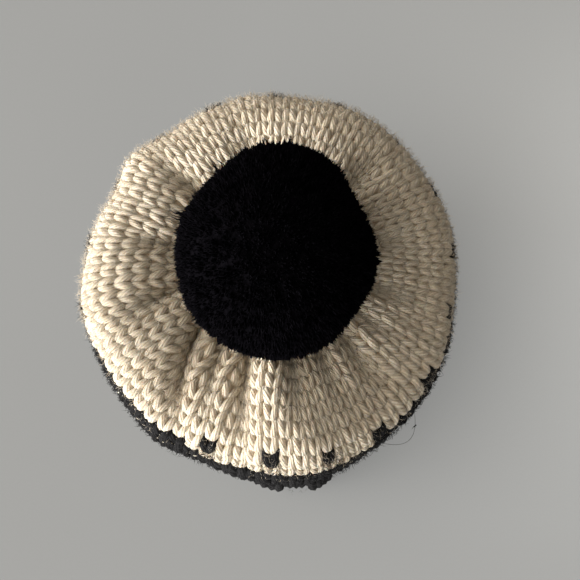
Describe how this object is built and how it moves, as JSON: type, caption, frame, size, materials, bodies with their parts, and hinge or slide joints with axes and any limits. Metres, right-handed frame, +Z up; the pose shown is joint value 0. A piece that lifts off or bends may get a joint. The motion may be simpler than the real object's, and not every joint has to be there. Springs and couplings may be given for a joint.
{
  "type": "knit hat",
  "caption": "Knitted pull-on hat with a ribbed rim, a straight wall with a small two-colour border, a gathered soft crown and a large round pompom; worn on the head.",
  "frame": {"origin": "middle of the hat's box, on the surface that the rim stands on", "axes": "+Z up from the rim to the pompom, -Y towards the front where the storage crease shows, +X to the right"},
  "size_m": [0.1448, 0.1572, 0.203],
  "materials": {
    "black_yarn": "plied wool yarn, ribbed and stocking stitch",
    "cream_yarn": "plied wool yarn, stocking stitch",
    "pompom_yarn": "cut and trimmed wool yarn"
  },
  "bodies": {
    "root": {"brim": "black_yarn", "band": "black_yarn", "crown": "cream_yarn", "pompom": "pompom_yarn"}
  },
  "joints": []
}
